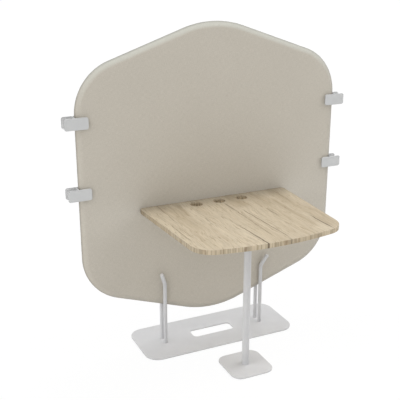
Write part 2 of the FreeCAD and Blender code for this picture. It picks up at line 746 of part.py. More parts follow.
foot_body = steel_plate("foot_blank", rectangle_corners(
    "Sizes.foot_width", "Sizes.foot_width", "Sizes.foot_radius"))
round_rims(foot_body, "foot_edge", end_faces(foot_body, UPWARDS), "Sizes.plate_edge")
place(foot_body, y=LEG_Y, z="Sizes.pad_thickness")
sub_part(cut("foot_plate_shape", foot_body, [foot_hole]), "foot_plate")
sub_part(corner_pads("foot_pad_group", "foot_width", "foot_width", "foot_pad_inset",
                     "foot_pad_diameter", LEG_Y), "foot_pads")


# Clips, each made with the screen's edge at the origin and its free end along +X

def clip_body(name):
    """An H-shaped clip: two plates joined by a web, with a channel on each side of it."""
    body = doc.addObject("PartDesign::Body", name + "_blank")
    sketch = body_sketch(body, name + "_outline", "XZ_Plane")
    inner = "(Sizes.clip_inner_arm - Sizes.clip_clearance)"
    outer = "(Sizes.clip_clearance + Sizes.clip_web + Sizes.clip_outer_arm)"
    rounded_loop(sketch, rectangle_corners(
        f"({inner} + {outer})", "Sizes.clip_height", "Sizes.clip_corner",
        f"({outer} - {inner}) / 2"))
    pad(body, name + "_pad", sketch, "Sizes.clip_depth")
    round_rims(body, name + "_edge", end_faces(body, BACKWARDS), "Sizes.clip_edge")
    place(body, y="Sizes.clip_depth / 2")
    gap = "(Sizes.clip_depth - 2 * Sizes.clip_plate)"
    channels = []
    for channel, start, length in (
            ("inner", f"-{inner}", "Sizes.clip_inner_arm"),
            ("outer", "Sizes.clip_clearance + Sizes.clip_web", "Sizes.clip_outer_arm")):
        space = box(f"{name}_{channel}_channel", length, gap, "Sizes.clip_height")
        channels.append(place(space, start, f"-{gap} / 2", "-Sizes.clip_height / 2"))
    return cut(name, body, channels)


def clip_liners(name):
    """The soft grip strips inside a clip's two channels."""
    height = "(Sizes.clip_height - 2 * Sizes.liner_margin)"
    face = "(Sizes.screen_thickness / 2 + Sizes.contact_gap)"
    thickness = f"(Sizes.clip_depth / 2 - Sizes.clip_plate - {face})"
    strips = []
    for channel, start, arm in (
            ("inner", "Sizes.clip_clearance - Sizes.clip_inner_arm + Sizes.liner_margin",
             "Sizes.clip_inner_arm"),
            ("outer", "Sizes.clip_clearance + Sizes.clip_web", "Sizes.clip_outer_arm")):
        for row, y in (("front", f"-({face} + {thickness})"), ("rear", face)):
            strip = box(f"{name}_{channel}_{row}", f"{arm} - Sizes.liner_margin", thickness, height)
            strips.append(place(strip, start, y, f"-{height} / 2"))
    return group(name, strips)


for side, sign in SIDES.items():
    turned = UPRIGHT if side == "right" else TURNED_LEFT
    for level, height in CLIP_LEVELS.items():
        at = (f"{sign} * Sizes.screen_width / 2", SCREEN_Y, height, turned)
        sub_part(place(clip_body(f"clip_shape_{side}_{level}"), *at), f"clip_{side}_{level}")
        sub_part(place(clip_liners(f"clip_liner_shape_{side}_{level}"), *at),
                 f"clip_liner_{side}_{level}")

# Check every object and every finished shape, then write the shapes out

doc.recompute()
for thing in doc.Objects:
    if "Invalid" in thing.State or "Error" in thing.State:
        raise RuntimeError(f"{thing.Label} failed to build: {thing.State}")
for thing in sub_parts:
    if thing.Shape.isNull() or not thing.Shape.isValid():
        raise RuntimeError(f"{thing.Label} has no valid shape")

os.makedirs("parts", exist_ok=True)
for thing in sub_parts:
    thing.Shape.exportStep(f"parts/{thing.Label}.step")
print(f"{len(sub_parts)} sub-parts written")
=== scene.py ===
import json
import math
from collections import namedtuple

import bmesh
import bpy
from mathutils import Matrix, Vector, noise


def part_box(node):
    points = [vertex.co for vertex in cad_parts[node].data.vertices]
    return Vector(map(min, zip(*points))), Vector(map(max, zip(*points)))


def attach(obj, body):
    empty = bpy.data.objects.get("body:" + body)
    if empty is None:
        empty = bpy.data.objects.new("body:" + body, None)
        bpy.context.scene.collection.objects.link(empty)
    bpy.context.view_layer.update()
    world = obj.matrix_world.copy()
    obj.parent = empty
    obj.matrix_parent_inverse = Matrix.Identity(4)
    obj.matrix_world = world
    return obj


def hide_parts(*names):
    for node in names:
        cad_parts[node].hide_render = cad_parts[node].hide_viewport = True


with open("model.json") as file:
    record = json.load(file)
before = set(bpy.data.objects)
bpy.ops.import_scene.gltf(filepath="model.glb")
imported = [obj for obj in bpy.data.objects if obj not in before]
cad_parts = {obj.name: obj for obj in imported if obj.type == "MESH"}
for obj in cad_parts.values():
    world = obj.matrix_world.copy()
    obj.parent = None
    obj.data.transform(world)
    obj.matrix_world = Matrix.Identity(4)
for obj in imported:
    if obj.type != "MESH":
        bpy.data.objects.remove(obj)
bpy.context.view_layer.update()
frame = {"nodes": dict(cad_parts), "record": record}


# Node helpers

# The span that most values of a noise texture lie in
NOISE_LOW = 0.3
NOISE_HIGH = 0.7
NOISE_MIDDLE = 0.5


def plug(tree, node, inputs):
    """Set a node's inputs to values, or link them where a socket is given."""
    for name, value in inputs.items():
        if isinstance(value, bpy.types.NodeSocket):
            tree.links.new(value, node.inputs[name])
        else:
            node.inputs[name].default_value = value


def add(tree, kind, inputs=(), **settings):
    """Add a shader node, set its properties, and set or link its inputs."""
    made = tree.nodes.new("ShaderNode" + kind)
    for name, setting in settings.items():
        setattr(made, name, setting)
    plug(tree, made, dict(inputs))
    return made


def maths(tree, operation, first, second=0.0, third=0.0):
    """One operation on values or sockets."""
    inputs = {0: first, 1: second, 2: third}
    return add(tree, "Math", inputs, operation=operation).outputs[0]


def product(tree, first, *others):
    """Values or sockets multiplied together."""
    result = first
    for other in others:
        result = maths(tree, "MULTIPLY", result, other)
    return result


def remap(tree, value, low, high, to_low=0.0, to_high=1.0, smooth=False):
    """Map a value from one range to another, held at both ends."""
    inputs = {"Value": value, "From Min": low, "From Max": high, "To Min": to_low, "To Max": to_high}
    kind = "SMOOTHSTEP" if smooth else "LINEAR"
    return add(tree, "MapRange", inputs, interpolation_type=kind).outputs["Result"]


def spread(tree, cloudy, to_low, to_high):
    """Map the usual span of a noise to a range."""
    return remap(tree, cloudy, NOISE_LOW, NOISE_HIGH, to_low, to_high)


def mix(tree, factor, first, second):
    """The first colour, turned into the second by a factor from 0 to 1."""
    inputs = {"Fac": factor, "Color1": first, "Color2": second}
    return add(tree, "MixRGB", inputs).outputs["Color"]


def toned(tree, colour, tone):
    """A colour made darker or lighter by a tone."""
    return add(tree, "VectorMath", {0: colour, "Scale": tone}, operation="SCALE").outputs[0]


def cloud(tree, place, scale, detail, roughness=0.5):
    """Noise with the same number of repeats per metre every way."""
    inputs = {"Vector": place, "Scale": scale, "Detail": detail, "Roughness": roughness}
    return add(tree, "TexNoise", inputs).outputs["Fac"]


def streak(tree, place, repeats, detail, roughness=0.5):
    """Noise with its own number of repeats per metre along X, Y and Z."""
    stretched = add(tree, "Mapping", {"Vector": place, "Scale": repeats}).outputs["Vector"]
    return cloud(tree, stretched, 1.0, detail, roughness)


def bump(tree, height, distance, strength):
    """A surface's direction, tilted by a height."""
    inputs = {"Height": height, "Distance": distance, "Strength": strength}
    return add(tree, "Bump", inputs).outputs["Normal"]


def rgb(red, green, blue):
    """A colour as it is seen on screen, from 0 to 255, as the linear colour that shaders take."""
    shares = [channel / 255 for channel in (red, green, blue)]
    linear = [s / 12.92 if s <= 0.04045 else ((s + 0.055) / 1.055) ** 2.4 for s in shares]
    return (*linear, 1.0)


def new_material(name):
    """A material with an empty principled surface: its tree and its surface node."""
    material = bpy.data.materials.new(name)
    material.use_nodes = True
    tree = material.node_tree
    tree.nodes.clear()
    surface = add(tree, "BsdfPrincipled")
    add(tree, "OutputMaterial", {"Surface": surface.outputs["BSDF"]})
    return material, tree, surface


def object_place(tree):
    """The place on the object, in metres."""
    return add(tree, "TexCoord").outputs["Object"]


def facing(tree, axis):
    """How far a surface faces along one of X, Y and Z, from -1 to 1."""
    normal = add(tree, "NewGeometry").outputs["Normal"]
    return add(tree, "SeparateXYZ", {"Vector": normal}).outputs[axis]


# Metal, plastic, rubber and filling

def powder_coat(name, colour):
    """Fine powder coat: a faint orange peel, a little mottling, and painted shade on what doesn't face
    up.
    """
    material, tree, surface = new_material(name)
    place = object_place(tree)
    mottle = cloud(tree, place, scale=14.0, detail=3.0)
    peel = cloud(tree, place, scale=900.0, detail=2.0)
    patches = spread(tree, mottle, 0.97, 1.03)
    specks = spread(tree, peel, 0.985, 1.015)
    # painted shade: what doesn't face up is made darker
    sides = remap(tree, facing(tree, "Z"), 0.3, 0.8, to_low=0.87, to_high=1.0)
    plug(tree, surface, {
        "Base Color": toned(tree, colour[:3], product(tree, patches, specks, sides)),
        "Roughness": spread(tree, mottle, 0.44, 0.54),
        "Specular IOR Level": 0.4,
        "Normal": bump(tree, peel, distance=0.00006, strength=0.5),
    })
    return material


def moulded_plastic(name, colour):
    """Moulded plastic with a fine spark-eroded grain, with painted shade on its narrow ends."""
    material, tree, surface = new_material(name)
    place = object_place(tree)
    pits = cloud(tree, place, scale=1600.0, detail=3.0, roughness=0.6)
    flow = cloud(tree, place, scale=30.0, detail=2.0)
    patches = spread(tree, flow, 0.98, 1.02)
    specks = spread(tree, pits, 0.98, 1.02)
    # painted shade: the narrow ends, facing along X, are made darker
    sideways = maths(tree, "ABSOLUTE", facing(tree, "X"))
    ends = remap(tree, sideways, 0.5, 0.95, to_low=1.0, to_high=0.80)
    plug(tree, surface, {
        "Base Color": toned(tree, colour[:3], product(tree, patches, specks, ends)),
        "Roughness": spread(tree, pits, 0.5, 0.62),
        "Normal": bump(tree, pits, distance=0.00005, strength=0.6),
    })
    return material


def rubber(name, colour):
    """Matt rubber with a little dust on it."""
    material, tree, surface = new_material(name)
    dust = cloud(tree, object_place(tree), scale=220.0, detail=4.0, roughness=0.65)
    tone = remap(tree, dust, 0.3, 0.75, to_low=0.85, to_high=1.2)
    plug(tree, surface, {
        "Base Color": toned(tree, colour[:3], tone),
        "Roughness": spread(tree, dust, 0.75, 0.9),
        "Normal": bump(tree, dust, distance=0.0001, strength=0.5),
    })
    return material


def plated_steel(name, colour):
    """Zinc plating with a faint spangle."""
    material, tree, surface = new_material(name)
    spangle = cloud(tree, object_place(tree), scale=400.0, detail=3.0)
    plug(tree, surface, {
        "Base Color": toned(tree, colour[:3], spread(tree, spangle, 0.85, 1.1)),
        "Roughness": spread(tree, spangle, 0.28, 0.42),
        "Metallic": 1.0,
    })
    return material


def fibrous(name, colour, scale):
    """Pressed board, felt or foam: short fibres of uneven tone."""
    material, tree, surface = new_material(name)
    fibre = cloud(tree, object_place(tree), scale, detail=5.0, roughness=0.7)
    tone = remap(tree, fibre, 0.25, 0.75, to_low=0.75, to_high=1.2)
    plug(tree, surface, {
        "Base Color": toned(tree, colour[:3], tone),
        "Roughness": 0.95,
        "Normal": bump(tree, fibre, distance=0.0006, strength=0.6),
    })
    return material


# Cloth of the screen, on a map that holds places on the unrolled cloth in metres

WEAVE_MAP = "weave"
THREAD_PITCH = 0.0016
SLUBS_ACROSS_THREAD = 620.0
SLUBS_ALONG_THREAD = 55.0
SLUB_RELIEF = 0.6
SEAM_DARK_UP_TO = 0.001
SEAM_CLEAR_FROM = 0.007


def weave_height(tree, cloth):
    """The rounded threads of a plain weave, from 0 between threads to 1 on top of one."""
    split = add(tree, "SeparateXYZ", {"Vector": cloth})
    numbers = []
    rounds = []
    for way in ("X", "Y"):
        count = maths(tree, "DIVIDE", split.outputs[way], THREAD_PITCH)
        numbers.append(maths(tree, "FLOOR", count))
        wave = maths(tree, "SINE", maths(tree, "MULTIPLY", count, math.pi))
        rounds.append(maths(tree, "ABSOLUTE", wave))
    crossing = maths(tree, "ABSOLUTE", maths(tree, "ADD", *numbers))
    warp_over = maths(tree, "MODULO", crossing, 2.0)
    weft_over = maths(tree, "SUBTRACT", 1.0, warp_over)
    warp = maths(tree, "MULTIPLY", rounds[0], warp_over)
    weft = maths(tree, "MULTIPLY", rounds[1], weft_over)
    return maths(tree, "ADD", warp, weft)


def mixed_yarn(tree, cloth):
    """The uneven mix of fibres along the threads of both ways."""
    warp_repeats = (SLUBS_ACROSS_THREAD, SLUBS_ALONG_THREAD, 1.0)
    weft_repeats = (SLUBS_ALONG_THREAD, SLUBS_ACROSS_THREAD, 1.0)
    warp = streak(tree, cloth, warp_repeats, detail=3.0, roughness=0.6)
    weft = streak(tree, cloth, weft_repeats, detail=3.0, roughness=0.6)
    return maths(tree, "MULTIPLY", maths(tree, "ADD", warp, weft), 0.5)


def seam_tone(tree):
    """Dark in the seam along the middle of the screen's edge."""
    low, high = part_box("screen_frame")
    seam_y = (low.y + high.y) / 2
    depth = add(tree, "SeparateXYZ", {"Vector": object_place(tree)}).outputs["Y"]
    from_seam = maths(tree, "ABSOLUTE", maths(tree, "SUBTRACT", depth, seam_y))
    return remap(tree, from_seam, SEAM_DARK_UP_TO, SEAM_CLEAR_FROM, to_low=0.62, smooth=True)


def woven_fabric(name, light, dark, painted_highlight):
    """Plain-woven melange cloth, with a painted highlight, paler and greyer, where it faces up, painted
    shade where it faces down, and painted shade where it faces the right.
    """
    material, tree, surface = new_material(name)
    cloth = add(tree, "UVMap", uv_map=WEAVE_MAP).outputs["UV"]
    height = weave_height(tree, cloth)
    melange = mixed_yarn(tree, cloth)
    drift = streak(tree, cloth, (3.0, 3.0, 1.0), detail=3.0)
    upward = facing(tree, "Z")
    yarn = mix(tree, remap(tree, melange, 0.36, 0.64), dark, light)
    # painted highlight: the yarn is mixed towards a pale grey where the cloth faces up
    yarn = mix(tree, remap(tree, upward, 0.05, 0.45, to_high=0.6), yarn, painted_highlight)
    gaps = remap(tree, height, 0.0, 0.7, to_low=0.86, to_high=1.03)
    patches = spread(tree, drift, 0.985, 1.015)
    # painted light and shade: lighter where the cloth faces up, darker where it faces down
    painted_up_down_light = remap(tree, upward, -0.5, 0.5, to_low=0.92, to_high=1.08)
    # painted shade: darker where the cloth faces the right
    painted_right_shade = remap(tree, facing(tree, "X"), 0.03, 0.5, to_low=1.0, to_high=0.88)
    tone = product(tree, gaps, patches, painted_up_down_light, seam_tone(tree), painted_right_shade)
    raised = maths(tree, "ADD", height, maths(tree, "MULTIPLY", melange, SLUB_RELIEF))
    plug(tree, surface, {
        "Base Color": toned(tree, yarn, tone),
        "Roughness": spread(tree, melange, 0.88, 0.98),
        "Specular IOR Level": 0.2,
        "Sheen Weight": 0.12,
        "Sheen Roughness": 0.5,
        "Normal": bump(tree, raised, distance=0.00022, strength=0.5),
    })
    return material


# Wood of the desktop

PALE_BOARD = rgb(201, 188, 165)
WARM_BOARD = rgb(191, 177, 153)
STREAK_BROWN = rgb(162, 144, 118)
FLECK_BROWN = rgb(138, 119, 93)
BAND_BROWN = rgb(149, 131, 103)
EDGE_AMBER = rgb(180, 160, 124)
EDGE_SPOT_BROWN = rgb(122, 98, 68)
CHECK_BROWN = rgb(66, 50, 34)
# The darkest brown of the bores is partly the raw board and partly painted shade deep in the holes
RAW_AND_SHADED_DARK = rgb(90, 78, 58)
RAW_LIGHT = rgb(164, 146, 117)

AMBER_SHARE = 0.2
FIBRE_RELIEF = 0.4
GRAIN_SWAY = 0.06
CHECK_WAVER = 0.012
HOLE_PITCH = 0.120
HOLE_SETBACK = 0.059
HOLE_REACH = 0.0312
PALE_LAYER = 0.003
RAW_FROM = 0.010

# Marks in the wood: where each lies across the desk, where it starts and ends from the desk's back
# edge, how far it leans over its length, its half width, and how dark it is
Mark = namedtuple("Mark", "across start end lean half_width depth")
CHECKS = [
    Mark(across=-0.078, start=0.28, end=0.44, lean=0.008, half_width=0.0026, depth=0.45),
    Mark(across=-0.070, start=0.37, end=0.66, lean=0.016, half_width=0.0036, depth=0.90),
    Mark(across=-0.060, start=0.50, end=0.75, lean=0.008, half_width=0.0056, depth=0.95),
    Mark(across=-0.097, start=0.50, end=0.61, lean=0.012, half_width=0.0026, depth=0.55),
    Mark(across=0.007, start=0.08, end=0.24, lean=-0.001, half_width=0.0090, depth=0.55),
    Mark(across=0.008, start=0.16, end=0.58, lean=-0.003, half_width=0.0042, depth=0.50),
    Mark(across=0.042, start=0.20, end=0.62, lean=0.018, half_width=0.0038, depth=0.75),
    Mark(across=0.053, start=0.60, end=0.70, lean=0.004, half_width=0.0060, depth=1.00),
    Mark(across=0.284, start=0.40, end=0.61, lean=0.005, half_width=0.0045, depth=1.00),
    Mark(across=0.150, start=0.25, end=0.38, lean=0.004, half_width=0.0060, depth=0.60),
    Mark(across=0.139, start=0.43, end=0.49, lean=0.004, half_width=0.0060, depth=0.70),
    Mark(across=-0.162, start=0.23, end=0.31, lean=-0.004, half_width=0.0060, depth=0.70),
    Mark(across=-0.300, start=-0.04, end=0.27, lean=-0.004, half_width=0.0045, depth=0.45),
    Mark(across=0.315, start=0.02, end=0.21, lean=-0.002, half_width=0.0032, depth=0.50),
    Mark(across=-0.340, start=0.24, end=0.50, lean=0.006, half_width=0.0040, depth=0.50),
    Mark(across=-0.318, start=0.30, end=0.46, lean=0.006, half_width=0.0024, depth=0.40),
]
BANDS = [
    Mark(across=0.243, start=0.10, end=0.56, lean=0.003, half_width=0.026, depth=0.50),
    Mark(across=-0.200, start=0.00, end=0.22, lean=-0.016, half_width=0.022, depth=0.55),
    Mark(across=0.066, start=-0.06, end=0.21, lean=0.000, half_width=0.085, depth=0.45),
    Mark(across=-0.250, start=0.05, end=0.40, lean=0.010, half_width=0.050, depth=0.22),
    Mark(across=0.300, start=-0.05, end=0.58, lean=0.010, half_width=0.070, depth=0.26),
    Mark(across=0.200, start=0.02, end=0.24, lean=0.005, half_width=0.080, depth=0.24),
]
MARK_FADE = 0.05

# A place on the desktop, how far it lies from the back edge and below the upper face, whether it is on
# the board's edge, and how far that faces to a side
DeskSpot = namedtuple("DeskSpot", "place across along up from_back below on_edge sideways")


def desk_spot(tree):
    """Where a point of the desktop lies."""
    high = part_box("desktop")[1]
    place = object_place(tree)
    split = add(tree, "SeparateXYZ", {"Vector": place}).outputs
    upright = maths(tree, "ABSOLUTE", facing(tree, "Z"))
    return DeskSpot(
        place=place,
        across=split["X"],
        along=split["Y"],
        up=split["Z"],
        from_back=maths(tree, "SUBTRACT", high.y, split["Y"]),
        below=maths(tree, "SUBTRACT", high.z, split["Z"]),
        on_edge=remap(tree, upright, 0.75, 0.45, smooth=True),
        sideways=maths(tree, "ABSOLUTE", facing(tree, "X")),
    )


def wandering(tree, spot, repeats, reach):
    """The place across the desk, shifted to and fro on the way along the grain."""
    sway = streak(tree, spot.place, repeats, detail=3.0)
    shift = maths(tree, "SUBTRACT", sway, NOISE_MIDDLE)
    return maths(tree, "MULTIPLY_ADD", shift, reach, spot.across)


def wood_marks(tree, marks, across, from_back):
    """How dark the marks are at each place: each fades out to its sides and towards its ends."""
    deepest = 0.0
    for mark in marks:
        share = remap(tree, from_back, mark.start, mark.end)
        middle_line = maths(tree, "MULTIPLY_ADD", share, mark.lean, mark.across)
        aside = maths(tree, "ABSOLUTE", maths(tree, "SUBTRACT", across, middle_line))
        inside = remap(tree, aside, mark.half_width, 0.0, to_high=mark.depth, smooth=True)
        begin = remap(tree, from_back, mark.start, mark.start + MARK_FADE)
        finish = remap(tree, from_back, mark.end, mark.end - MARK_FADE)
        deepest = maths(tree, "MAXIMUM", deepest, product(tree, inside, begin, finish))
    return deepest


def oak_face(tree, spot):
    """The colour of the boards with their streaks, flecks and bands, and the fine fibres in them."""
    across = wandering(tree, spot, (5.0, 4.0, 0.0), GRAIN_SWAY)
    parts = {"X": across, "Y": spot.along, "Z": spot.up}
    place = add(tree, "CombineXYZ", parts).outputs[0]
    boards = streak(tree, place, (9.0, 0.6, 0.0), detail=1.0)
    streaks = streak(tree, place, (60.0, 2.5, 0.0), detail=5.0, roughness=0.65)
    flecks = streak(tree, place, (130.0, 14.0, 0.0), detail=4.0, roughness=0.75)
    fibres = streak(tree, place, (300.0, 8.0, 0.0), detail=5.0, roughness=0.7)
    wood = mix(tree, remap(tree, boards, 0.35, 0.65), PALE_BOARD, WARM_BOARD)
    wood = mix(tree, remap(tree, streaks, 0.48, 0.75, to_high=0.6), wood, STREAK_BROWN)
    wood = mix(tree, remap(tree, flecks, 0.54, 0.72, to_high=0.9), wood, FLECK_BROWN)
    wood = mix(tree, wood_marks(tree, BANDS, across, spot.from_back), wood, BAND_BROWN)
    return wood, fibres


def oak_tone(tree, spot, fibres):
    """Light and dark fibres on the face, bars across the edges, painted shade on the side edges, and
    painted shade and a painted shadow line along the back edge.
    """
    bars = streak(tree, spot.place, (150.0, 150.0, 3.0), detail=0.5)
    face_tone = spread(tree, fibres, 0.76, 1.18)
    bar_tone = remap(tree, bars, 0.42, 0.58, to_low=1.0, to_high=0.66)
    # painted shade: the board's edges that face the sides are made darker
    painted_edge_side_shade = remap(tree, spot.sideways, 0.5, 0.95, to_low=0.98, to_high=0.74, smooth=True)
    edge_tone = maths(tree, "MULTIPLY", bar_tone, painted_edge_side_shade)
    chosen = add(tree, "Mix", {0: spot.on_edge, 2: face_tone, 3: edge_tone}).outputs[0]
    # painted shade: darker towards the back edge, where the screen stands over the desk
    painted_back_shade = remap(tree, spot.from_back, 0.0, 0.15, to_low=0.64, smooth=True)
    # painted shadow: a thin darker line right along the back edge
    painted_back_shadow_line = remap(tree, spot.from_back, 0.004, 0.020, to_low=0.90, smooth=True)
    return product(tree, chosen, painted_back_shade, painted_back_shadow_line)


def oak_edges(tree, spot, wood):
    """A touch of amber and a few dark spots on the board's edges."""
    spots = streak(tree, spot.place, (24.0, 24.0, 8.0), detail=2.0, roughness=0.6)
    spot_share = remap(tree, spots, 0.60, 0.74, to_high=0.70)
    wood = mix(tree, maths(tree, "MULTIPLY", spot.on_edge, AMBER_SHARE), wood, EDGE_AMBER)
    return mix(tree, maths(tree, "MULTIPLY", spot.on_edge, spot_share), wood, EDGE_SPOT_BROWN)


def oak_checks(tree, spot):
    across = wandering(tree, spot, (4.0, 18.0, 0.0), CHECK_WAVER)
    ragged = streak(tree, spot.place, (220.0, 45.0, 40.0), detail=3.0, roughness=0.7)
    broken = remap(tree, ragged, 0.32, 0.5, to_low=0.5)
    return maths(tree, "MULTIPLY", wood_marks(tree, CHECKS, across, spot.from_back), broken)


def oak_bores(tree, spot, wood):
    """Brown on the cable holes' walls, below the face's pale layer: partly the raw board, partly
    painted shade deep in the holes.
    """
    hole_y = maths(tree, "SUBTRACT", spot.from_back, HOLE_SETBACK)
    hole_y_squared = maths(tree, "MULTIPLY", hole_y, hole_y)
    nearest = 1.0
    for column in (-1, 0, 1):
        hole_x = maths(tree, "SUBTRACT", spot.across, column * HOLE_PITCH)
        squares = maths(tree, "MULTIPLY_ADD", hole_x, hole_x, hole_y_squared)
        nearest = maths(tree, "MINIMUM", nearest, maths(tree, "SQRT", squares))
    in_hole = maths(tree, "LESS_THAN", nearest, HOLE_REACH)
    under_layer = remap(tree, spot.below, PALE_LAYER, RAW_FROM, smooth=True)
    chips = streak(tree, spot.place, (220.0, 220.0, 60.0), detail=3.0, roughness=0.7)
    # partly raw board, partly painted shade: the holes' walls go dark brown below the pale layer
    raw = mix(tree, remap(tree, chips, 0.38, 0.62), RAW_AND_SHADED_DARK, RAW_LIGHT)
    return mix(tree, maths(tree, "MULTIPLY", in_hole, under_layer), wood, raw)


def oak(name):
    """Light rustic oak with its grain from back to front, dark checks along it, painted shade along its
    back edge and side edges, and bores dark with raw board and painted shade.
    """
    material, tree, surface = new_material(name)
    spot = desk_spot(tree)
    wood, fibres = oak_face(tree, spot)
    wood = toned(tree, wood, oak_tone(tree, spot, fibres))
    wood = oak_edges(tree, spot, wood)
    checks = oak_checks(tree, spot)
    wood = mix(tree, checks, wood, CHECK_BROWN)
    wood = oak_bores(tree, spot, wood)
    relief = maths(tree, "SUBTRACT", maths(tree, "MULTIPLY", fibres, FIBRE_RELIEF), checks)
    plug(tree, surface, {
        "Base Color": wood,
        "Roughness": spread(tree, fibres, 0.5, 0.66),
        "Specular IOR Level": 0.35,
        "Normal": bump(tree, relief, distance=0.0005, strength=0.5),
    })
    return material


# Each material slot's material, on every CAD node

slot_materials = {
    "powder_coat": powder_coat("light_grey_powder_coat", rgb(207, 207, 208)),
    "oak": oak("rustic_oak"),
    # The cloth's pale grey for what faces up is a painted highlight
    "screen_fabric": woven_fabric("greige_weave", light=rgb(196, 190, 179), dark=rgb(181, 175, 163),
                                  painted_highlight=rgb(196, 198, 190)),
    "padding": fibrous("padding_felt", rgb(215, 212, 204), scale=300.0),
    "core_board": fibrous("core_board", rgb(172, 148, 116), scale=160.0),
    "steel": plated_steel("zinc_plated_steel", rgb(190, 190, 192)),
    "pad_rubber": rubber("pad_rubber", rgb(58, 58, 58)),
    "clip_plastic": moulded_plastic("clip_plastic", rgb(192, 193, 193)),
    "grip_rubber": rubber("grip_rubber", rgb(196, 196, 196)),
}
for subpart in frame["record"]["subparts"]:
    mesh = frame["nodes"][subpart["node"]].data
    mesh.materials.clear()
    mesh.materials.append(slot_materials[subpart["material_slot"]])


# Screen padding, with sizes in metres

SIDE_RADIUS = 0.245
TIP_RADIUS = 0.466
SHOULDER = 0.335
CORE_INSET = 0.010
CORE_THICKNESS = 0.012
OUTLINE_STEP = 0.006

# The padded edge: how far it runs in from the outline, how far of that is an even slope, how high the
# slope starts, and the seam with its lip, as shares of the seam's depth and of the slope's start
EDGE_RUN = 0.031
SLOPE_RUN = 0.013
SLOPE_START = 0.0024
SEAM_DEPTH = 0.0030
LIP_INSET = 0.45
LIP_HEIGHT = 0.4

# Puckers along the seam, and ripples on the face by their number per metre
PUCKER_HEIGHT = 0.0005
PUCKER_LENGTH = 0.028
PUCKER_REACH = 0.014
FACE_RELIEF = 0.0001
FACE_RIPPLES = 9.0

# Rows of points: over the edge as shares of its run, then in over the face, then towards its middle
EDGE_SHARES = (0.012, 0.03, 0.06, 0.11, 0.18, 0.26, 0.34, 0.42, 0.50, 0.58, 0.66, 0.74, 0.82, 0.90, 1.0)
FACE_INSETS = (0.045, 0.075, 0.115, 0.165, 0.215)
FACE_SHARES = (0.8, 0.6, 0.4, 0.2)

# A point of the screen's outline, its outward direction and the way run so far
OutlinePoint = namedtuple("OutlinePoint", "place outward run")


def screen_corners():
    """The six round corners about the screen's middle, anticlockwise: their centres and radii."""
    low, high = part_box("front_cover")
    side_x = (high.x - low.x) / 2 - SIDE_RADIUS
    tip_z = (high.z - low.z) / 2 - TIP_RADIUS
    return [
        (Vector((side_x, SHOULDER)), SIDE_RADIUS),
        (Vector((0, tip_z)), TIP_RADIUS),
        (Vector((-side_x, SHOULDER)), SIDE_RADIUS),
        (Vector((-side_x, -SHOULDER)), SIDE_RADIUS),
        (Vector((0, -tip_z)), TIP_RADIUS),
        (Vector((side_x, -SHOULDER)), SIDE_RADIUS),
    ]


def side_angles(corners):
    """The angle that the straight side after each corner faces, where it touches both its corners."""
    angles = []
    for index, (centre, radius) in enumerate(corners):
        next_centre, next_radius = corners[(index + 1) % len(corners)]
        way = next_centre - centre
        angles.append(math.atan2(way.y, way.x) - math.acos((radius - next_radius) / way.length))
    return angles


def screen_outline():
    """The screen's edge about its middle: six round corners and the straight sides between them."""
    corners = screen_corners()
    angles = side_angles(corners)
    outline = []
    run = 0.0
    for index, (centre, radius) in enumerate(corners):
        turn = (angles[index] - angles[index - 1]) % (2 * math.pi)
        steps = math.ceil(radius * turn / OUTLINE_STEP)
        for step in range(steps):
            angle = angles[index - 1] + turn * step / steps
            outward = Vector((math.cos(angle), math.sin(angle)))
            arc_run = radius * turn * step / steps
            outline.append(OutlinePoint(centre + outward * radius, outward, run + arc_run))
        run += radius * turn
        outward = Vector((math.cos(angles[index]), math.sin(angles[index])))
        next_centre, next_radius = corners[(index + 1) % len(corners)]
        start = centre + outward * radius
        side = next_centre + outward * next_radius - start
        steps = math.ceil(side.length / OUTLINE_STEP)
        for step in range(steps):
            share = step / steps
            outline.append(OutlinePoint(start + side * share, outward, run + side.length * share))
        run += side.length
    return outline


def edge_rows(half):
    """Rows over the padded edge, from its seam to the flat face: inset, height and way over the cloth.

    The edge rises steeply from the seam, slopes evenly, then eases into the flat face.
    """
    ease_run = EDGE_RUN - SLOPE_RUN
    slope = (half - SLOPE_START) / (SLOPE_RUN + ease_run / 2)
    profile = [(SEAM_DEPTH, 0.0), (SEAM_DEPTH * LIP_INSET, SLOPE_START * LIP_HEIGHT)]
    for share in EDGE_SHARES:
        inset = EDGE_RUN * share
        eased = max(inset - SLOPE_RUN, 0.0)
        height = SLOPE_START + slope * (inset - eased ** 2 / (2 * ease_run))
        profile.append((inset, height))
    ways = [0.0]
    for (inset, height), (next_inset, next_height) in zip(profile[::-1], profile[-2::-1]):
        ways.append(ways[-1] + math.hypot(next_inset - inset, next_height - height))
    ways.reverse()
    return [(inset, height, way) for (inset, height), way in zip(profile, ways)]


def add_padding(name, mesh, stands_for):
    """The finished mesh, as a padded piece that stands for soft solids."""
    data = bpy.data.meshes.new(name)
    mesh.to_mesh(data)
    mesh.free()
    data.materials.append(slot_materials["screen_fabric"])
    padding = bpy.data.objects.new(name, data)
    bpy.context.scene.collection.objects.link(padding)
    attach(padding, "desk_and_screen")
    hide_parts(*stands_for)


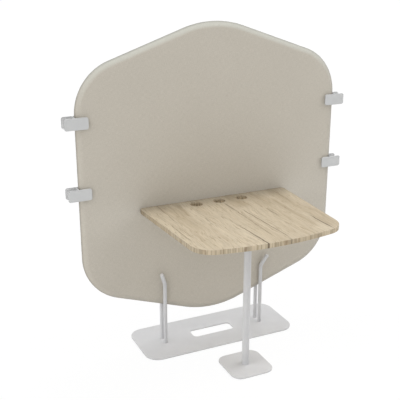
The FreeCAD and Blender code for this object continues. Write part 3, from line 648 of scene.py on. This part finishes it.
def padded_half(name, direction, stands_for):
    """Half of the padded screen, from the seam in its edge to its flat face, hollow for the core."""
    low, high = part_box(stands_for[0])
    middle_y = high.y if direction < 0 else low.y
    half = high.y - low.y
    centre_z = (low.z + high.z) / 2
    outline = screen_outline()
    mesh = bmesh.new()
    cloth_map = mesh.loops.layers.uv.new(WEAVE_MAP)
    cloth_places = {}

    def point(flat, height, cloth):
        """One point, by its place on the face, its height over the seam and its place on the cloth."""
        made = mesh.verts.new((flat.x, middle_y + direction * height, centre_z + flat.y))
        cloth_places[made] = cloth
        return made

    def ripple(flat):
        """How far the flat face stands out at a place."""
        return FACE_RELIEF * noise.noise(Vector((flat.x, flat.y, direction)) * FACE_RIPPLES)

    def ring(inset, height, way):
        """One closed row of points; way is the way over the cloth, outwards from the flat face."""
        row = []
        for spot in outline:
            wave = noise.noise(Vector((spot.run / PUCKER_LENGTH, direction, 0.0)))
            pucker = PUCKER_HEIGHT * wave * math.exp(-inset / PUCKER_REACH) if height > 0 else 0.0
            flat = spot.place - spot.outward * (inset + pucker)
            lift = ripple(flat) if height >= half else 0.0
            cloth = spot.place + spot.outward * (way - EDGE_RUN)
            row.append(point(flat, height + lift, cloth))
        return row

    def bridge(outer, inner):
        """Faces between two rows."""
        for index in range(len(outer)):
            after = (index + 1) % len(outer)
            mesh.faces.new((outer[index], outer[after], inner[after], inner[index]))

    def close_face(row, corners):
        """Smaller and smaller rows, then a point at the screen's middle."""
        for share in FACE_SHARES:
            smaller = []
            for corner in corners:
                flat = corner * share
                smaller.append(point(flat, half + ripple(flat), flat))
            bridge(row, smaller)
            row = smaller
        middle = point(Vector((0.0, 0.0)), half, Vector((0.0, 0.0)))
        for index in range(len(row)):
            mesh.faces.new((row[index], row[(index + 1) % len(row)], middle))

    rows = [ring(inset, height, way) for inset, height, way in edge_rows(half)]
    rows += [ring(inset, half, EDGE_RUN - inset) for inset in FACE_INSETS]
    for outer, inner in zip(rows, rows[1:]):
        bridge(outer, inner)
    close_face(rows[-1], [spot.place - spot.outward * FACE_INSETS[-1] for spot in outline])

    # The hollow side: a rim on the middle plane, then the rebate that takes the core
    core_half = CORE_THICKNESS / 2
    rim = ring(CORE_INSET, 0.0, 0.0)
    rebate = ring(CORE_INSET, core_half, 0.0)
    bridge(rim, rows[0])
    bridge(rebate, rim)
    floor_row = ring(FACE_INSETS[-1], core_half, 0.0)
    bridge(floor_row, rebate)
    centre = point(Vector((0.0, 0.0)), core_half, Vector((0.0, 0.0)))
    for index in range(len(floor_row)):
        mesh.faces.new((floor_row[(index + 1) % len(floor_row)], floor_row[index], centre))

    bmesh.ops.recalc_face_normals(mesh, faces=mesh.faces[:])
    for face in mesh.faces:
        face.smooth = True
        for loop in face.loops:
            loop[cloth_map].uv = cloth_places[loop.vert]
    add_padding(name, mesh, stands_for)


padded_half("screen_front_padding", -1, ("front_cover", "front_foam"))
padded_half("screen_rear_padding", 1, ("rear_cover", "rear_foam"))


# Floor and light

WHITE = rgb(255, 255, 255)
FLOOR_PAINT = rgb(250, 250, 250)
FLOOR_SIZE = 60.0
FLOOR_GLOW = 0.93

# Broad soft lights, left and right: the way round from the front towards the left, the way up in
# degrees, and the strength in the middle
Softbox = namedtuple("Softbox", "turn rise strength")
SOFTBOXES = [
    Softbox(turn=100, rise=40, strength=1.33),
    Softbox(turn=60, rise=12, strength=0.74),
    Softbox(turn=60, rise=40, strength=1.00),
    Softbox(turn=-80, rise=40, strength=2.28),
    Softbox(turn=-110, rise=30, strength=0.85),
]
SOFTBOX_FALLOFF = 4.0


def seen_directly(tree):
    """1 for rays from the camera, a reflection or glass, and 0 for those that light things."""
    path = add(tree, "LightPath")
    seen = maths(tree, "MAXIMUM", path.outputs["Is Camera Ray"], path.outputs["Is Glossy Ray"])
    return maths(tree, "MAXIMUM", seen, path.outputs["Is Transmission Ray"])


def make_floor():
    """A wide white floor that keeps the object's shadow."""
    data = bpy.data.meshes.new("floor")
    reach = FLOOR_SIZE / 2
    corners = [(-reach, -reach, 0), (reach, -reach, 0), (reach, reach, 0), (-reach, reach, 0)]
    data.from_pydata(corners, [], [(0, 1, 2, 3)])
    material = bpy.data.materials.new("floor_white")
    material.use_nodes = True
    tree = material.node_tree
    tree.nodes.clear()
    paint = add(tree, "BsdfDiffuse", {"Color": FLOOR_PAINT})
    glow = add(tree, "Emission", {"Strength": 1.0})
    share = maths(tree, "MULTIPLY", seen_directly(tree), FLOOR_GLOW)
    blend = add(tree, "MixShader", {0: share, 1: paint.outputs[0], 2: glow.outputs[0]})
    add(tree, "OutputMaterial", {"Surface": blend.outputs[0]})
    data.materials.append(material)
    floor = bpy.data.objects.new("floor", data)
    bpy.context.scene.collection.objects.link(floor)


def towards(turn, rise):
    """The direction towards a light, from its way round from the front and its way up in degrees."""
    turn = math.radians(turn)
    rise = math.radians(rise)
    return Vector((-math.sin(turn) * math.cos(rise), -math.cos(turn) * math.cos(rise), math.sin(rise)))


def make_sky():
    """The soft lights in the world, which itself is seen as white."""
    world = bpy.data.worlds.new("studio")
    bpy.context.scene.world = world
    world.use_nodes = True
    tree = world.node_tree
    tree.nodes.clear()
    direction = add(tree, "TexCoord").outputs["Generated"]
    strength = 0.0
    for softbox in SOFTBOXES:
        inputs = {0: direction, 1: towards(softbox.turn, softbox.rise)}
        nearness = add(tree, "VectorMath", inputs, operation="DOT_PRODUCT").outputs["Value"]
        glow = maths(tree, "POWER", maths(tree, "MAXIMUM", nearness, 0.0), SOFTBOX_FALLOFF)
        strength = maths(tree, "MULTIPLY_ADD", glow, softbox.strength, strength)
    light = add(tree, "Background", {"Color": WHITE, "Strength": strength})
    backdrop = add(tree, "Background", {"Color": WHITE, "Strength": 1.0})
    seen = seen_directly(tree)
    blend = add(tree, "MixShader", {0: seen, 1: light.outputs[0], 2: backdrop.outputs[0]})
    add(tree, "OutputWorld", {"Surface": blend.outputs[0]})


# Camera at the photograph's view: 400 pixels wide, from the front left and above

PHOTO_PIXELS = 400
FOCAL_PIXELS = 733.3
SENSOR_MM = 36.0
CAMERA_TURN = math.radians(24.92)
CAMERA_TILT = math.radians(18.86)
CAMERA_FROM_SCREEN = Vector((-1.4895, -3.0606, 1.8833))


def make_camera():
    """The camera, placed from the spot on the floor below the middle of the screen."""
    low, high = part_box("screen_frame")
    data = bpy.data.cameras.new("camera")
    data.sensor_width = SENSOR_MM
    data.lens = SENSOR_MM * FOCAL_PIXELS / PHOTO_PIXELS
    camera = bpy.data.objects.new("camera", data)
    camera.location = CAMERA_FROM_SCREEN + Vector((0.0, (low.y + high.y) / 2, 0.0))
    camera.rotation_euler = (math.pi / 2 - CAMERA_TILT, 0.0, -CAMERA_TURN)
    bpy.context.scene.collection.objects.link(camera)
    bpy.context.scene.camera = camera


make_floor()
make_sky()
make_camera()
bpy.context.scene.view_settings.view_transform = "Standard"

bpy.context.view_layer.update()
